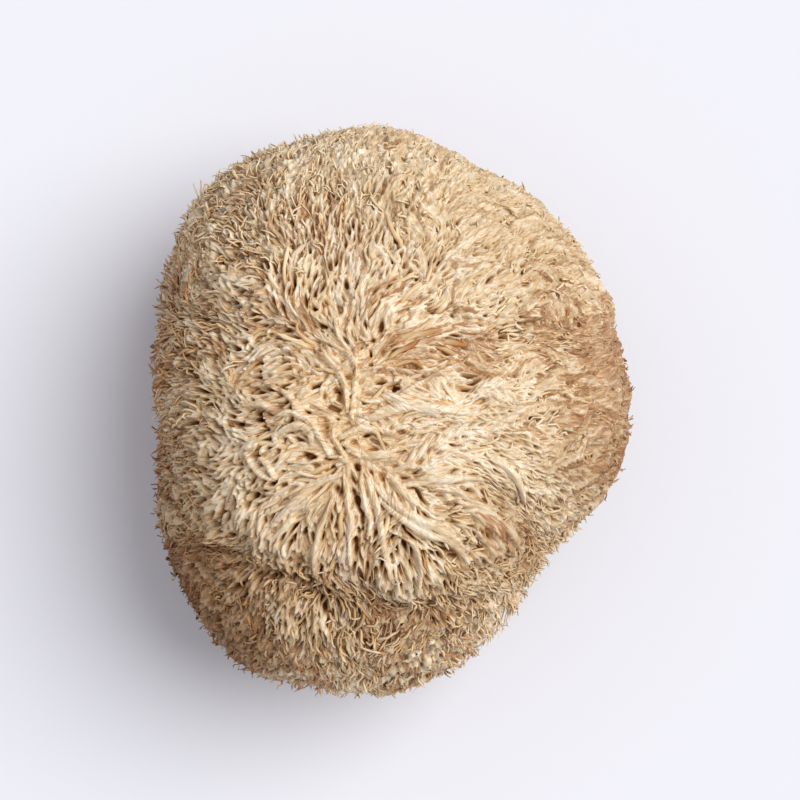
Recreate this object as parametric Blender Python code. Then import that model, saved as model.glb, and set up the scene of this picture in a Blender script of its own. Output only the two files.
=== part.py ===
"""A dried lion's mane mushroom, resting on the flat cut of its stem.

The fruiting body grew as one piece. It is a broad bun of flesh on a short
stem, and its whole skin is drawn out into spines. The spines are combed away
from a whorl on the crown: they lie low on top, stand out round the flanks,
and shorten underneath towards the stem.
+Z is up, +Y runs towards the round upper lobe, and the origin is the centre
of the box at the cut.
"""

import math
import random

import bmesh
import bpy
from mathutils import Vector, noise

MM = 0.001

# Plan outline over the spine tips: its radius at every 15 degrees, from +X
# towards +Y. The dip near 315 degrees is the notch beside the lower lobe.
OUTLINE_RADII = (
    37.0, 37.5, 38.0, 39.0, 40.0, 40.5, 44.0, 45.0, 45.5, 44.5, 41.5, 38.5,
    37.0, 38.0, 40.5, 43.5, 46.0, 45.5, 44.0, 40.0, 36.5, 32.5, 34.5, 37.0,
)
OUTLINE_CENTRE = Vector((0.6, 0.0)) * MM

# Upright profile of the flesh, from the crown down to below the cut. Each
# point is a share of the plan radius and a height.
PROFILE = (
    (0.00, 48.8), (0.24, 48.6), (0.47, 47.5), (0.69, 44.4), (0.87, 38.6),
    (0.975, 31.0), (1.00, 23.5), (0.955, 16.5), (0.83, 11.4), (0.66, 8.8),
    (0.49, 7.2), (0.39, 4.2), (0.365, 0.0), (0.34, -3.0), (0.00, -3.5),
)
SPINE_REACH = 7.0 * MM  # how far the flank spines stand past the flesh
STEM_TOP = 3.2 * MM  # the stem's side is bare below this height

# The crown's whorl is a short crest. Every spine points away from it.
CREST_START = Vector((-6.5, -7.6)) * MM
CREST_END = Vector((-4.9, 4.2)) * MM
CREST_HEIGHT = 49.0 * MM

# Furrows between the lobes: their line in plan, their depth and half width.
TIER_FURROW = ((24.0, -27.0), (14.0, -25.5), (7.0, -27.5), (0.5, -29.5),
               (-7.0, -27.0), (-15.0, -24.5), (-25.0, -20.0))
TIER_DEPTH = 3.2 * MM
TIER_HALF_WIDTH = 3.6 * MM
BAND_FURROW = ((-27.0, 12.5), (-14.0, 8.0), (-2.0, 5.5), (12.0, 7.0), (30.0, 8.0))
BAND_DEPTH = 1.5 * MM
BAND_HALF_WIDTH = 4.5 * MM

# Low swells that keep the flesh from being an even bun.
SWELL_HEIGHT = 1.2 * MM
SWELL_LENGTH = 15.0 * MM

SPINE_SITES = 1640
SITE_CROWDING = 0.92  # under 1, the spines on the crown are the widest apart
SITE_JITTER = 0.17  # a share of the distance between sites
TURNS_PER_SITE = (math.sqrt(5.0) - 1.0) / 2.0
SPINE_LENGTH_CROWN = 6.5 * MM
SPINE_LENGTH_FLANK = 6.8 * MM
SPINE_LENGTH_UNDER = 4.6 * MM
FURROW_LENGTH = 0.42  # the share of their length that spines keep in a furrow
STEM_LENGTH = 0.4  # the same share beside the stem, reached over the low band
LOW_BAND = 7.0 * MM
LENGTH_SPREAD = 0.22
TIP_STRAY = 0.18  # how far a tip strays, as a share of its patch's breadth
USUAL_PATCH = 2.2 * MM  # breadth of the patch of skin that one spine grows from
FLOOR_GAP = 0.4 * MM  # spines end this far above the surface it rests on
SEED = 12

SPINE_COLOUR = (0.66, 0.50, 0.32, 1.0)


def catmull(before, start, end, after, share):
    """A point on the smooth curve from start to end."""
    return 0.5 * (
        2.0 * start
        + (end - before) * share
        + (2.0 * before - 5.0 * start + 4.0 * end - after) * share ** 2
        + (3.0 * start - before - 3.0 * end + after) * share ** 3
    )


def outline_radius(angle):
    """Plan radius over the spine tips, at an angle in radians."""
    count = len(OUTLINE_RADII)
    place = (angle / math.tau % 1.0) * count
    index = int(place)
    four = [OUTLINE_RADII[(index + step) % count] for step in (-1, 0, 1, 2)]
    return catmull(*four, place - index) * MM


def profile_point(polar):
    """Share of the plan radius, and height, at an angle down from the crown."""
    place = polar / math.pi * (len(PROFILE) - 1)
    index = min(int(place), len(PROFILE) - 2)
    ends = [min(max(index + step, 0), len(PROFILE) - 1) for step in (-1, 0, 1, 2)]
    four = [Vector(PROFILE[end]) for end in ends]
    share, height = catmull(*four, place - index)
    return max(share, 0.0), height * MM


def distance_to_line(place, line):
    """Plan distance from a place to a furrow's line."""
    nearest = math.inf
    for start, end in zip(line, line[1:]):
        start, end = Vector(start) * MM, Vector(end) * MM
        along = (place - start).dot(end - start) / (end - start).length_squared
        foot = start + (end - start) * min(max(along, 0.0), 1.0)
        nearest = min(nearest, (place - foot).length)
    return nearest


def nearness(place, line, half_width):
    """1 on a furrow's line, falling to 0 away from it."""
    return math.exp(-((distance_to_line(place, line) / half_width) ** 2))


def flesh_point(direction):
    """The flesh's surface in the direction of a unit vector."""
    polar = math.acos(max(-1.0, min(1.0, direction.z)))
    angle = math.atan2(direction.y, direction.x)
    share, height = profile_point(polar)
    radius = (outline_radius(angle) - SPINE_REACH) * share
    point = Vector((math.cos(angle) * radius, math.sin(angle) * radius, height))
    point.xy += OUTLINE_CENTRE
    outward = Vector((direction.x, direction.y, max(direction.z, 0.0) * 1.5))
    outward.normalize()
    upper = min(max(direction.z * 2.0 + 1.2, 0.0), 1.0)
    sunk = TIER_DEPTH * nearness(point.xy, TIER_FURROW, TIER_HALF_WIDTH)
    sunk += BAND_DEPTH * nearness(point.xy, BAND_FURROW, BAND_HALF_WIDTH)
    swell = SWELL_HEIGHT * noise.noise(point / SWELL_LENGTH)
    return point + outward * (swell - sunk) * upper


def spine_sites(chance):
    """Directions of the sites, wound on a sphere like the seeds of a sunflower."""
    gap = math.sqrt(4.0 * math.pi / SPINE_SITES)
    for index in range(SPINE_SITES):
        height = 1.0 - 2.0 * ((index + 0.5) / SPINE_SITES) ** SITE_CROWDING
        across = math.sqrt(1.0 - height ** 2)
        angle = math.tau * TURNS_PER_SITE * index
        site = Vector((across * math.cos(angle), across * math.sin(angle), height))
        stray = Vector([chance.gauss(0.0, SITE_JITTER * gap) for _ in range(3)])
        yield (site + stray).normalized()


def combed(point, normal):
    """The direction along the skin, away from the crest of the whorl."""
    crest = CREST_END - CREST_START
    along = (point.xy - CREST_START).dot(crest) / crest.length_squared
    foot = CREST_START + crest * min(max(along, 0.0), 1.0)
    away = (point - Vector((foot.x, foot.y, CREST_HEIGHT))).normalized()
    outward = Vector((point.x, point.y, 0.0)).normalized()
    away = away.lerp(outward, min(max(-1.5 * normal.z, 0.0), 1.0))
    flow = away - normal * away.dot(normal)
    return flow.normalized() if flow.length > 1e-6 else Vector((1.0, 0.0, 0.0))


def spine_tip(face, chance):
    """Where the spine that grows from this patch of skin ends."""
    root = face.calc_center_median()
    normal = sum((vert.normal for vert in face.verts), Vector()).normalized()
    flow = combed(root, normal)
    breadth = math.sqrt(face.calc_area())
    upward = max(normal.z, 0.0)
    under = max(-normal.z, 0.0)
    length = SPINE_LENGTH_FLANK
    length += (SPINE_LENGTH_CROWN - SPINE_LENGTH_FLANK) * upward
    length += (SPINE_LENGTH_UNDER - SPINE_LENGTH_FLANK) * under
    length *= min(max(breadth / USUAL_PATCH, 0.5), 1.1)
    length *= 1.0 + chance.uniform(-LENGTH_SPREAD, LENGTH_SPREAD)
    inside = nearness(root.xy, TIER_FURROW, 1.5 * TIER_HALF_WIDTH) * (1.0 - under)
    length *= 1.0 - (1.0 - FURROW_LENGTH) * inside
    low = max(1.0 - (root.z - STEM_TOP) / LOW_BAND, 0.0)
    length *= 1.0 - (1.0 - STEM_LENGTH) * low
    lean = 0.5 + 0.7 * upward - 0.9 * under
    lift = 0.9 - 0.3 * upward
    heading = (flow * lean + normal * lift).normalized()
    reach = TIP_STRAY * breadth
    stray = Vector([chance.uniform(-reach, reach) for _ in range(3)])
    tip = root + heading * length + stray
    if tip.z < FLOOR_GAP:
        tip.z = FLOOR_GAP
    return tip


def grow_spine(mesh, face, tip):
    """Pulls one patch of the skin out to a point."""
    point = mesh.verts.new(tip)
    for loop in face.loops:
        mesh.faces.new((loop.vert, loop.link_loop_next.vert, point))
    mesh.faces.remove(face)


def make_skin(chance):
    """The flesh as a closed mesh, cut off flat at the stem."""
    mesh = bmesh.new()
    for site in spine_sites(chance):
        mesh.verts.new(site)
    bmesh.ops.convex_hull(mesh, input=mesh.verts)
    for vert in mesh.verts:
        vert.co = flesh_point(vert.co.normalized())
    bmesh.ops.bisect_plane(
        mesh,
        geom=mesh.verts[:] + mesh.edges[:] + mesh.faces[:],
        plane_co=(0.0, 0.0, 0.0),
        plane_no=(0.0, 0.0, -1.0),
        clear_outer=True,
    )
    cut = [vert for vert in mesh.verts if vert.is_boundary]
    bmesh.ops.remove_doubles(mesh, verts=cut, dist=0.5 * MM)
    rim = [edge for edge in mesh.edges if edge.is_boundary]
    bmesh.ops.contextual_create(mesh, geom=rim)
    bmesh.ops.recalc_face_normals(mesh, faces=mesh.faces)
    mesh.normal_update()
    return mesh


def make_material(name, colour):
    material = bpy.data.materials.new(name)
    material.use_nodes = True
    shader = material.node_tree.nodes["Principled BSDF"]
    shader.inputs["Base Color"].default_value = colour
    shader.inputs["Roughness"].default_value = 0.85
    shader.inputs["Metallic"].default_value = 0.0
    return material


def make_fruiting_body():
    chance = random.Random(SEED)
    mesh = make_skin(chance)
    spiny = [face for face in mesh.faces if face.calc_center_median().z > STEM_TOP]
    tips = [spine_tip(face, chance) for face in spiny]
    for face, tip in zip(spiny, tips):
        grow_spine(mesh, face, tip)
    data = bpy.data.meshes.new("fruiting_body")
    mesh.to_mesh(data)
    mesh.free()
    data.materials.append(make_material("dried_spines", SPINE_COLOUR))
    body = bpy.data.objects.new("fruiting_body", data)
    bpy.context.scene.collection.objects.link(body)


def clear_scene():
    for item in list(bpy.data.objects):
        bpy.data.objects.remove(item)


clear_scene()
make_fruiting_body()
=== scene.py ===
"""A dried lion's mane mushroom: its flesh, the web over it, its coat of spines and the stage."""

import math

import bpy
import numpy as np
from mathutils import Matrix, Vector, noise
from mathutils.bvhtree import BVHTree
from mathutils.kdtree import KDTree


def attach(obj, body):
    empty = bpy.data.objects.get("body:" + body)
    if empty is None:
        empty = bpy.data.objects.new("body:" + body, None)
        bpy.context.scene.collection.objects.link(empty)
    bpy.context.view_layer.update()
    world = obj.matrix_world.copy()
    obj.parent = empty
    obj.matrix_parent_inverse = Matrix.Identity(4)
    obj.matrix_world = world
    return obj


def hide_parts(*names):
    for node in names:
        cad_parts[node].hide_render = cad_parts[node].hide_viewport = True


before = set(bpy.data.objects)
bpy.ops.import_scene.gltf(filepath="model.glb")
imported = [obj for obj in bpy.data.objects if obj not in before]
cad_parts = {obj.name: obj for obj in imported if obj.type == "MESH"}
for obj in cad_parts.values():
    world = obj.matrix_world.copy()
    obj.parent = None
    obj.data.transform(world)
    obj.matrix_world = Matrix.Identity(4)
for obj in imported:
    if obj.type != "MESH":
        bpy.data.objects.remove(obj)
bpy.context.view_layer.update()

# Flesh
# The heart of the fruiting body is a lobed bun of spongy flesh on a short stem.
# It shows only as dark gaps deep between the spines, which grow out of it all over; its dark brown colour
# is painted shade.
MM = 0.001
OUTLINE_RADII = np.array([
    37.0, 37.5, 38.0, 39.0, 40.0, 40.5, 44.0, 45.0, 45.5, 44.5, 41.5, 38.5,
    37.0, 38.0, 40.5, 43.5, 46.0, 45.5, 44.0, 40.0, 36.5, 32.5, 34.5, 37.0,
])[:, None] * MM  # over the spine tips, at every 15 degrees from +X towards +Y
OUTLINE_CENTRE = np.array([0.6, 0.0]) * MM
PROFILE = np.array([
    (0.00, 48.8), (0.24, 48.6), (0.47, 47.5), (0.69, 44.4), (0.87, 38.6),
    (0.975, 31.0), (1.00, 23.5), (0.955, 16.5), (0.83, 11.4), (0.66, 8.8),
    (0.49, 7.2), (0.39, 4.2), (0.365, 0.0), (0.34, -3.0), (0.00, -3.5),
])  # shares of the plan radius, and heights in millimetres
SPINE_REACH = 7.0 * MM  # how far the flank spines stand past the flesh
TIER_FURROW = ((24.0, -27.0), (14.0, -25.5), (7.0, -27.5), (0.5, -29.5),
               (-7.0, -27.0), (-15.0, -24.5), (-25.0, -20.0))  # over the lower lobe, in plan millimetres
TIER_DEPTH = 1.7 * MM
TIER_HALF_WIDTH = 3.6 * MM
BAND_FURROW = ((-27.0, 12.5), (-14.0, 8.0), (-2.0, 5.5), (12.0, 7.0), (30.0, 8.0))  # over the crown
BAND_DEPTH = 1.5 * MM
BAND_HALF_WIDTH = 4.5 * MM
SWELL_HEIGHT = 1.2 * MM
SWELL_LENGTH = 15.0 * MM
UPWARD = 1.5  # how much more than outwards the swells and furrows move the skin up or down


def unit(vectors):
    """The rows as unit vectors."""
    return vectors / np.maximum(np.linalg.norm(vectors, axis=-1, keepdims=True), 1e-12)


def smooth_between(rows, place, closed):
    """Points on the smooth curve through the rows, at fractional row numbers."""
    index = np.floor(place).astype(int)
    share = (place - index)[:, None]
    near = index[:, None] + np.arange(-1, 3)
    near = near % len(rows) if closed else np.clip(near, 0, len(rows) - 1)
    before, start, end, after = np.moveaxis(rows[near], 1, 0)
    return 0.5 * (
        2.0 * start
        + (end - before) * share
        + (2.0 * before - 5.0 * start + 4.0 * end - after) * share ** 2
        + (3.0 * start - before - 3.0 * end + after) * share ** 3
    )


def nearness(points, line, half_width):
    """1 on a line given in plan millimetres, falling to 0 away from it."""
    nearest = np.full(len(points), np.inf)
    for start, end in zip(np.array(line[:-1]) * MM, np.array(line[1:]) * MM):
        run = end - start
        share = np.clip((points[:, :2] - start) @ run / (run @ run), 0.0, 1.0)
        foot = start + run * share[:, None]
        nearest = np.minimum(nearest, np.linalg.norm(points[:, :2] - foot, axis=1))
    return np.exp(-((nearest / half_width) ** 2))


def flesh_points(directions):
    """The flesh's surface in the directions of these unit vectors."""
    polar = np.arccos(np.clip(directions[:, 2], -1.0, 1.0))
    angle = np.arctan2(directions[:, 1], directions[:, 0])
    place = polar / math.pi * (len(PROFILE) - 1)
    share, height = smooth_between(PROFILE, np.minimum(place, len(PROFILE) - 1.001), False).T
    turn = angle / math.tau % 1.0 * len(OUTLINE_RADII)
    radius = smooth_between(OUTLINE_RADII, turn, True)[:, 0] - SPINE_REACH
    radius = radius * np.maximum(share, 0.0)
    points = np.column_stack((np.cos(angle) * radius, np.sin(angle) * radius, height * MM))
    points[:, :2] += OUTLINE_CENTRE
    outward = directions * (1.0, 1.0, UPWARD)
    outward[directions[:, 2] < 0.0, 2] = 0.0
    outward = unit(outward)
    upper = np.clip(directions[:, 2] * 2.0 + 1.2, 0.0, 1.0)
    sunk = TIER_DEPTH * nearness(points, TIER_FURROW, TIER_HALF_WIDTH)
    sunk += BAND_DEPTH * nearness(points, BAND_FURROW, BAND_HALF_WIDTH)
    swell = [noise.noise(Vector(point) / SWELL_LENGTH) for point in points]
    shift = (SWELL_HEIGHT * np.array(swell) - sunk) * upper
    return points + outward * shift[:, None]


def corners_of(piece):
    """The corner points of a mesh."""
    corners = np.empty(len(piece.data.vertices) * 3)
    piece.data.vertices.foreach_get("co", corners)
    return corners.reshape(-1, 3)


def move_corners(piece, points):
    """Moves the corner points of a mesh to these places."""
    piece.data.vertices.foreach_set("co", points.ravel())
    piece.data.update()


def finish_tree(name):
    """A new finish: the material, its node tree and its shader."""
    material = bpy.data.materials.new(name)
    material.use_nodes = True
    return material, material.node_tree, material.node_tree.nodes["Principled BSDF"]


bpy.ops.object.select_all(action="DESELECT")
bpy.ops.mesh.primitive_ico_sphere_add(subdivisions=6, radius=1.0)
flesh = bpy.context.object
flesh.name = flesh.data.name = "flesh"
move_corners(flesh, flesh_points(unit(corners_of(flesh))))
bpy.ops.object.mode_set(mode="EDIT")
bpy.ops.mesh.select_all(action="SELECT")
bpy.ops.mesh.bisect(plane_co=(0.0, 0.0, 0.0), plane_no=(0.0, 0.0, -1.0), use_fill=True,
                    clear_outer=True, threshold=1e-6)
bpy.ops.mesh.select_all(action="SELECT")
bpy.ops.mesh.normals_make_consistent(inside=False)
bpy.ops.object.mode_set(mode="OBJECT")
bpy.ops.object.shade_smooth_by_angle(angle=math.radians(45.0))

flesh_finish, _, shader = finish_tree("flesh_painted_shade")
# painted shade: the flesh is dark brown to stand for the shade deep in the gaps between the spines
shader.inputs["Base Color"].default_value = (0.32, 0.16, 0.065, 1.0)
shader.inputs["Roughness"].default_value = 0.9
flesh.data.materials.append(flesh_finish)
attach(flesh, "root")
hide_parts("fruiting_body")

# Web
# Under the spines their bases are fused into a web: cream ribs that part and join round
# small hollows. It lies open on the crown, where some hollows are filled and a few deep.
CREST_START = np.array([-6.5, -7.6]) * MM
CREST_END = np.array([-4.9, 4.2]) * MM
CREST_HEIGHT = 49.0 * MM
WEB_POLE = Vector((-0.19, -0.05, 0.98))  # the direction in which the flesh meets the crest
CROWN_SPREAD = math.radians(14.0)
SHOULDER_SPREAD = math.radians(32.0)
MANTLE_SPREAD = math.radians(57.0)
RIM_SPREAD = math.radians(80.0)
WEB_SPREAD = math.radians(108.0)
HEM = 0.12  # radians over which the web's lower edge sinks into the flesh
HEM_DEPTH = 4.0 * MM
WEB_RISE = 2.1 * MM  # how far the ribs stand over the flesh
CREST_RISE = 0.7 * MM  # how much further they stand on the crest of the whorl
CREST_BREADTH = 8.0 * MM
FLANK_RISE = 4.4 * MM  # how much further they stand on the flanks
HOLLOWS = 7400
HOLLOW_STRETCH = 3.6  # how much longer than wide a hollow is
CROWN_HOLLOW = 1.3 * MM  # the width of the hollows on the crown
FLANK_HOLLOW = 0.72 * MM
FLANK_START = 22.0 * MM  # the hollows have narrowed at this distance from the crest
DEEPEST_HOLLOW = 1.9 * MM
RIB_SHARE = 0.6  # the part of a hollow's width that its rib takes
FIBRES = 3000
FIBRE_STRETCH = 8.0
FIBRE_GROOVE = 0.4 * MM  # how wide the groove round a fibre is
GROOVE_DEPTH = 0.13 * MM
FINE_WIDTH = 0.2 * MM  # the finest fibres, drawn on the ribs
FINE_LENGTH = 1.8 * MM
BARE_RADIUS = 23.0 * MM  # nearer to the crest than this the coat thins out
BARE_EDGE = 10.0 * MM  # and the breadth over which it ends
LOOSE_FROM = np.array([6.0, -9.0]) * MM  # to the left and in front of this the coat loosens
LOOSE_OVER = np.array([26.0, 12.0]) * MM
MOSSY_FROM = np.array([-20.0, -26.0, 32.0]) * MM  # past this, and below it, the coat is mossy
MOSSY_OVER = np.array([10.0, 8.0, 12.0]) * MM

# the skin is the flesh without its flat cut
skin_points = corners_of(flesh)
skin_normals = np.array([vert.normal for vert in flesh.data.vertices])
skin_faces = [tuple(face.vertices) for face in flesh.data.polygons if len(face.vertices) == 3]
skin_corners = np.array(skin_faces)
skin = BVHTree.FromPolygons(skin_points.tolist(), skin_faces)


def skin_normal(places, faces):
    """The smooth normals of the skin at places on these faces."""
    start, end, third = np.moveaxis(skin_points[skin_corners[faces]], 1, 0)
    along, aside, gap = end - start, third - start, places - start
    whole = np.cross(along, aside)
    size = (whole * whole).sum(axis=1)
    second = (np.cross(gap, aside) * whole).sum(axis=1) / size
    third = (np.cross(along, gap) * whole).sum(axis=1) / size
    shares = np.column_stack((1.0 - second - third, second, third))
    return unit((skin_normals[skin_corners[faces]] * shares[:, :, None]).sum(axis=1))


def on_skin(points):
    """The nearest points of the skin, and its smooth normals there."""
    found = [skin.find_nearest(point) for point in points.tolist()]
    places = np.array([hit[0] for hit in found])
    return places, skin_normal(places, np.array([hit[2] for hit in found]))


def eased(values):
    """The values held between 0 and 1, with smooth ends."""
    values = np.clip(values, 0.0, 1.0)
    return values * values * (3.0 - 2.0 * values)


def crest_distance(points):
    """How far these points are from the whorl's crest in plan, and its nearest point."""
    run = CREST_END - CREST_START
    share = np.clip((points[:, :2] - CREST_START) @ run / (run @ run), 0.0, 1.0)
    foot = CREST_START + run * share[:, None]
    return np.linalg.norm(points[:, :2] - foot, axis=1), foot


def crownness(points, radius):
    """1 at the crest of the whorl, falling to 0 away from it over about the radius."""
    distance, _ = crest_distance(points)
    return np.exp(-((distance / radius) ** 2)) * (points[:, 2] > 0.5 * CREST_HEIGHT)


def bare(points):
    """1 on the crown, where the web lies open, and 0 where spines cover it."""
    distance, _ = crest_distance(points)
    return eased((BARE_RADIUS - distance) / BARE_EDGE) * (points[:, 2] > 0.5 * CREST_HEIGHT)


def shaggy(points):
    """1 where the coat is loose and full of gaps, on the left and front, and 0 where it is matted."""
    return eased(((LOOSE_FROM - points[:, :2]) / LOOSE_OVER).max(axis=1))


# painted shade: on the left and front these patches darken the coat as the side turned from the lamp;
# elsewhere they are aged colour
AGED_AND_SHADED = (
    (-27.0, -27.0, 9.0, 1.0), (-19.0, -34.0, 6.0, 0.7), (-36.0, -8.0, 7.0, 0.6), (-36.0, 12.0, 7.0, 0.25),
    (-31.0, 28.0, 7.0, 0.15), (-14.0, -27.0, 5.0, 0.4), (-31.0, -15.0, 7.0, 0.6), (15.0, -19.0, 6.0, 0.5),
    (31.0, -8.0, 8.0, 0.45), (34.0, 6.0, 8.0, 0.6), (20.0, 24.0, 12.0, 0.15),
)  # where all of the coat is darker, partly aged and partly painted shade on the left and front, turned from the lamp: plan place and radius in millimetres, and how much


def patches(points, table):
    """How much these points lie in the patches of a table, which fade outwards."""
    amount = np.zeros(len(points))
    for x, y, radius, most in table:
        distance = np.linalg.norm(points[:, :2] / MM - (x, y), axis=1)
        amount = np.maximum(amount, most * np.exp(-((distance / radius) ** 2)))
    return amount


def mossy(points):
    """1 where the coat is short and tangled: in the aged and painted-shade patches, and low on the left and
    front.
    """
    share = eased((MOSSY_FROM - points) / MOSSY_OVER)
    return np.maximum(patches(points, AGED_AND_SHADED), share[:, 2] * share[:, :2].max(axis=1))


def furrow_shade(points, half_width):
    """How much painted shade darkens the furrow over the lower lobe, on its left and middle."""
    left = eased((14.0 * MM - points[:, 0]) / (10.0 * MM))
    return left * nearness(points, TIER_FURROW, half_width)


def combed(points, normals):
    """The directions along the skin, away from the crest of the whorl."""
    _, foot = crest_distance(points)
    crest = np.column_stack((foot, np.full(len(points), CREST_HEIGHT)))
    away = unit(points - crest)
    outward = unit(points * (1.0, 1.0, 0.0))
    under = np.clip(-1.5 * normals[:, 2], 0.0, 1.0)[:, None]
    away = away + (outward - away) * under
    return unit(away - normals * (away * normals).sum(axis=1, keepdims=True))


def ripple(points, length, seed):
    """Smooth values, mostly from -1 to 1, that change over about this length."""
    chance = np.random.default_rng(seed)
    waves = unit(chance.normal(size=(7, 3))) * chance.uniform(0.6, 1.4, (7, 1)) * math.tau / length
    return np.sin(points @ waves.T + chance.uniform(0.0, math.tau, 7)).sum(axis=1) / 2.2


def turned(vectors, axes, angles):
    """The vectors turned about the axes, which they stand square to."""
    return vectors * np.cos(angles)[:, None] + np.cross(axes, vectors) * np.sin(angles)[:, None]


def wandering(points, normals):
    """The combed directions, with the waver that neighbouring spines share."""
    waver = 0.42 * ripple(points, 16.0 * MM, 3) + 0.42 * ripple(points, 5.5 * MM, 4)
    return turned(combed(points, normals), normals, waver)


def nearest_seeds(points, seeds, count):
    """The numbers of the seeds nearest to each point, the nearest one first."""
    tree = KDTree(len(seeds))
    for index, seed in enumerate(seeds.tolist()):
        tree.insert(seed, index)
    tree.balance()
    return np.array([[hit[1] for hit in tree.find_n(point, count)] for point in points.tolist()])


def spaced(points):
    """The places moved a little apart where they lie too close together, on the skin."""
    for _ in range(2):
        near = nearest_seeds(points, points, 7)[:, 1:]
        gap = points[:, None] - points[near]
        far = np.linalg.norm(gap, axis=2, keepdims=True)
        room = 1.15 * far.mean(axis=1, keepdims=True)
        push = 0.35 * (gap / np.maximum(far, 1e-9) * np.maximum(room - far, 0.0)).sum(axis=1)
        points, _ = on_skin(points + push)
    return points


def scattered(chance, count, weight):
    """Evenly scattered places on the skin, closer together where the weight is more."""
    triangles = skin_points[skin_corners]
    areas = np.linalg.norm(
        np.cross(triangles[:, 1] - triangles[:, 0], triangles[:, 2] - triangles[:, 0]), axis=1)
    middles = triangles.mean(axis=1)
    normals = unit(skin_normals[skin_corners].sum(axis=1))
    total = np.cumsum(areas * weight(middles, normals))
    picks = (np.arange(count) + chance.uniform(0.0, 1.0, count)) / count * total[-1]
    faces = np.searchsorted(total, picks)
    shares = chance.dirichlet((1.0, 1.0, 1.0), count)
    return spaced((triangles[faces] * shares[:, :, None]).sum(axis=1))


def hollows(points, seeds, flows, reach, stretch):
    """The hollow that each point is in, the next one, and how far off their border is.

    A hollow is everything nearest to its seed, measured short along its flow and in
    shares of its reach.
    """
    near = nearest_seeds(points, seeds, 20)
    gap = points[:, None] - seeds[near]
    ahead = (gap * flows[near]).sum(axis=2)
    aside = np.maximum((gap * gap).sum(axis=2) - ahead ** 2, 0.0)
    distance = np.sqrt((ahead / stretch) ** 2 + aside) / reach[near]
    order = np.argsort(distance, axis=1)[:, :2]
    first, second = np.take_along_axis(distance, order, axis=1).T
    own, other = np.take_along_axis(near, order, axis=1).T
    return own, other, second - first


LONGER = ((-33.0, -20.0, 8.0, 1.3), (-20.0, -36.0, 8.0, 1.1), (-8.0, 43.0, 8.0, 0.7),
          (-40.0, 8.0, 8.0, 0.5))  # where the flanks stand out further, in the same units


def web_level(points, normals):
    """How far the web's ribs stand over the flesh."""
    distance, _ = crest_distance(points)
    flank = (1.0 - np.clip(normals[:, 2], 0.0, 1.0)) ** 0.8
    crest = CREST_RISE * np.exp(-((distance / CREST_BREADTH) ** 2))
    filled = (0.4 + 0.5 * ripple(points, 7.0 * MM, 9)) * MM
    filled *= nearness(points, TIER_FURROW, TIER_HALF_WIDTH)
    rim = FLANK_RISE + (0.3 * mossy(points) + patches(points, LONGER)) * MM
    under = eased(-1.7 * normals[:, 2])
    return (WEB_RISE + crest + filled + rim * flank) * (1.0 - 0.8 * under)


def hollow_width(points):
    """How wide the hollows are here."""
    distance, _ = crest_distance(points)
    share = np.clip(distance / FLANK_START, 0.0, 1.0) * (points[:, 2] > 0.0)
    return CROWN_HOLLOW + (FLANK_HOLLOW - CROWN_HOLLOW) * share


def web_seeds(chance, count, weight, stray):
    """Seeds for hollows or fibres, the ways that they lie and how far each one reaches."""
    seeds, normals = on_skin(scattered(chance, count, weight))
    spin = stray * (1.0 + 2.5 * crownness(seeds, 3.0 * MM)) * chance.normal(0.0, 1.0, len(seeds))
    return seeds, turned(wandering(seeds, normals), normals, spin), chance.uniform(0.8, 1.3, count)


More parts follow.
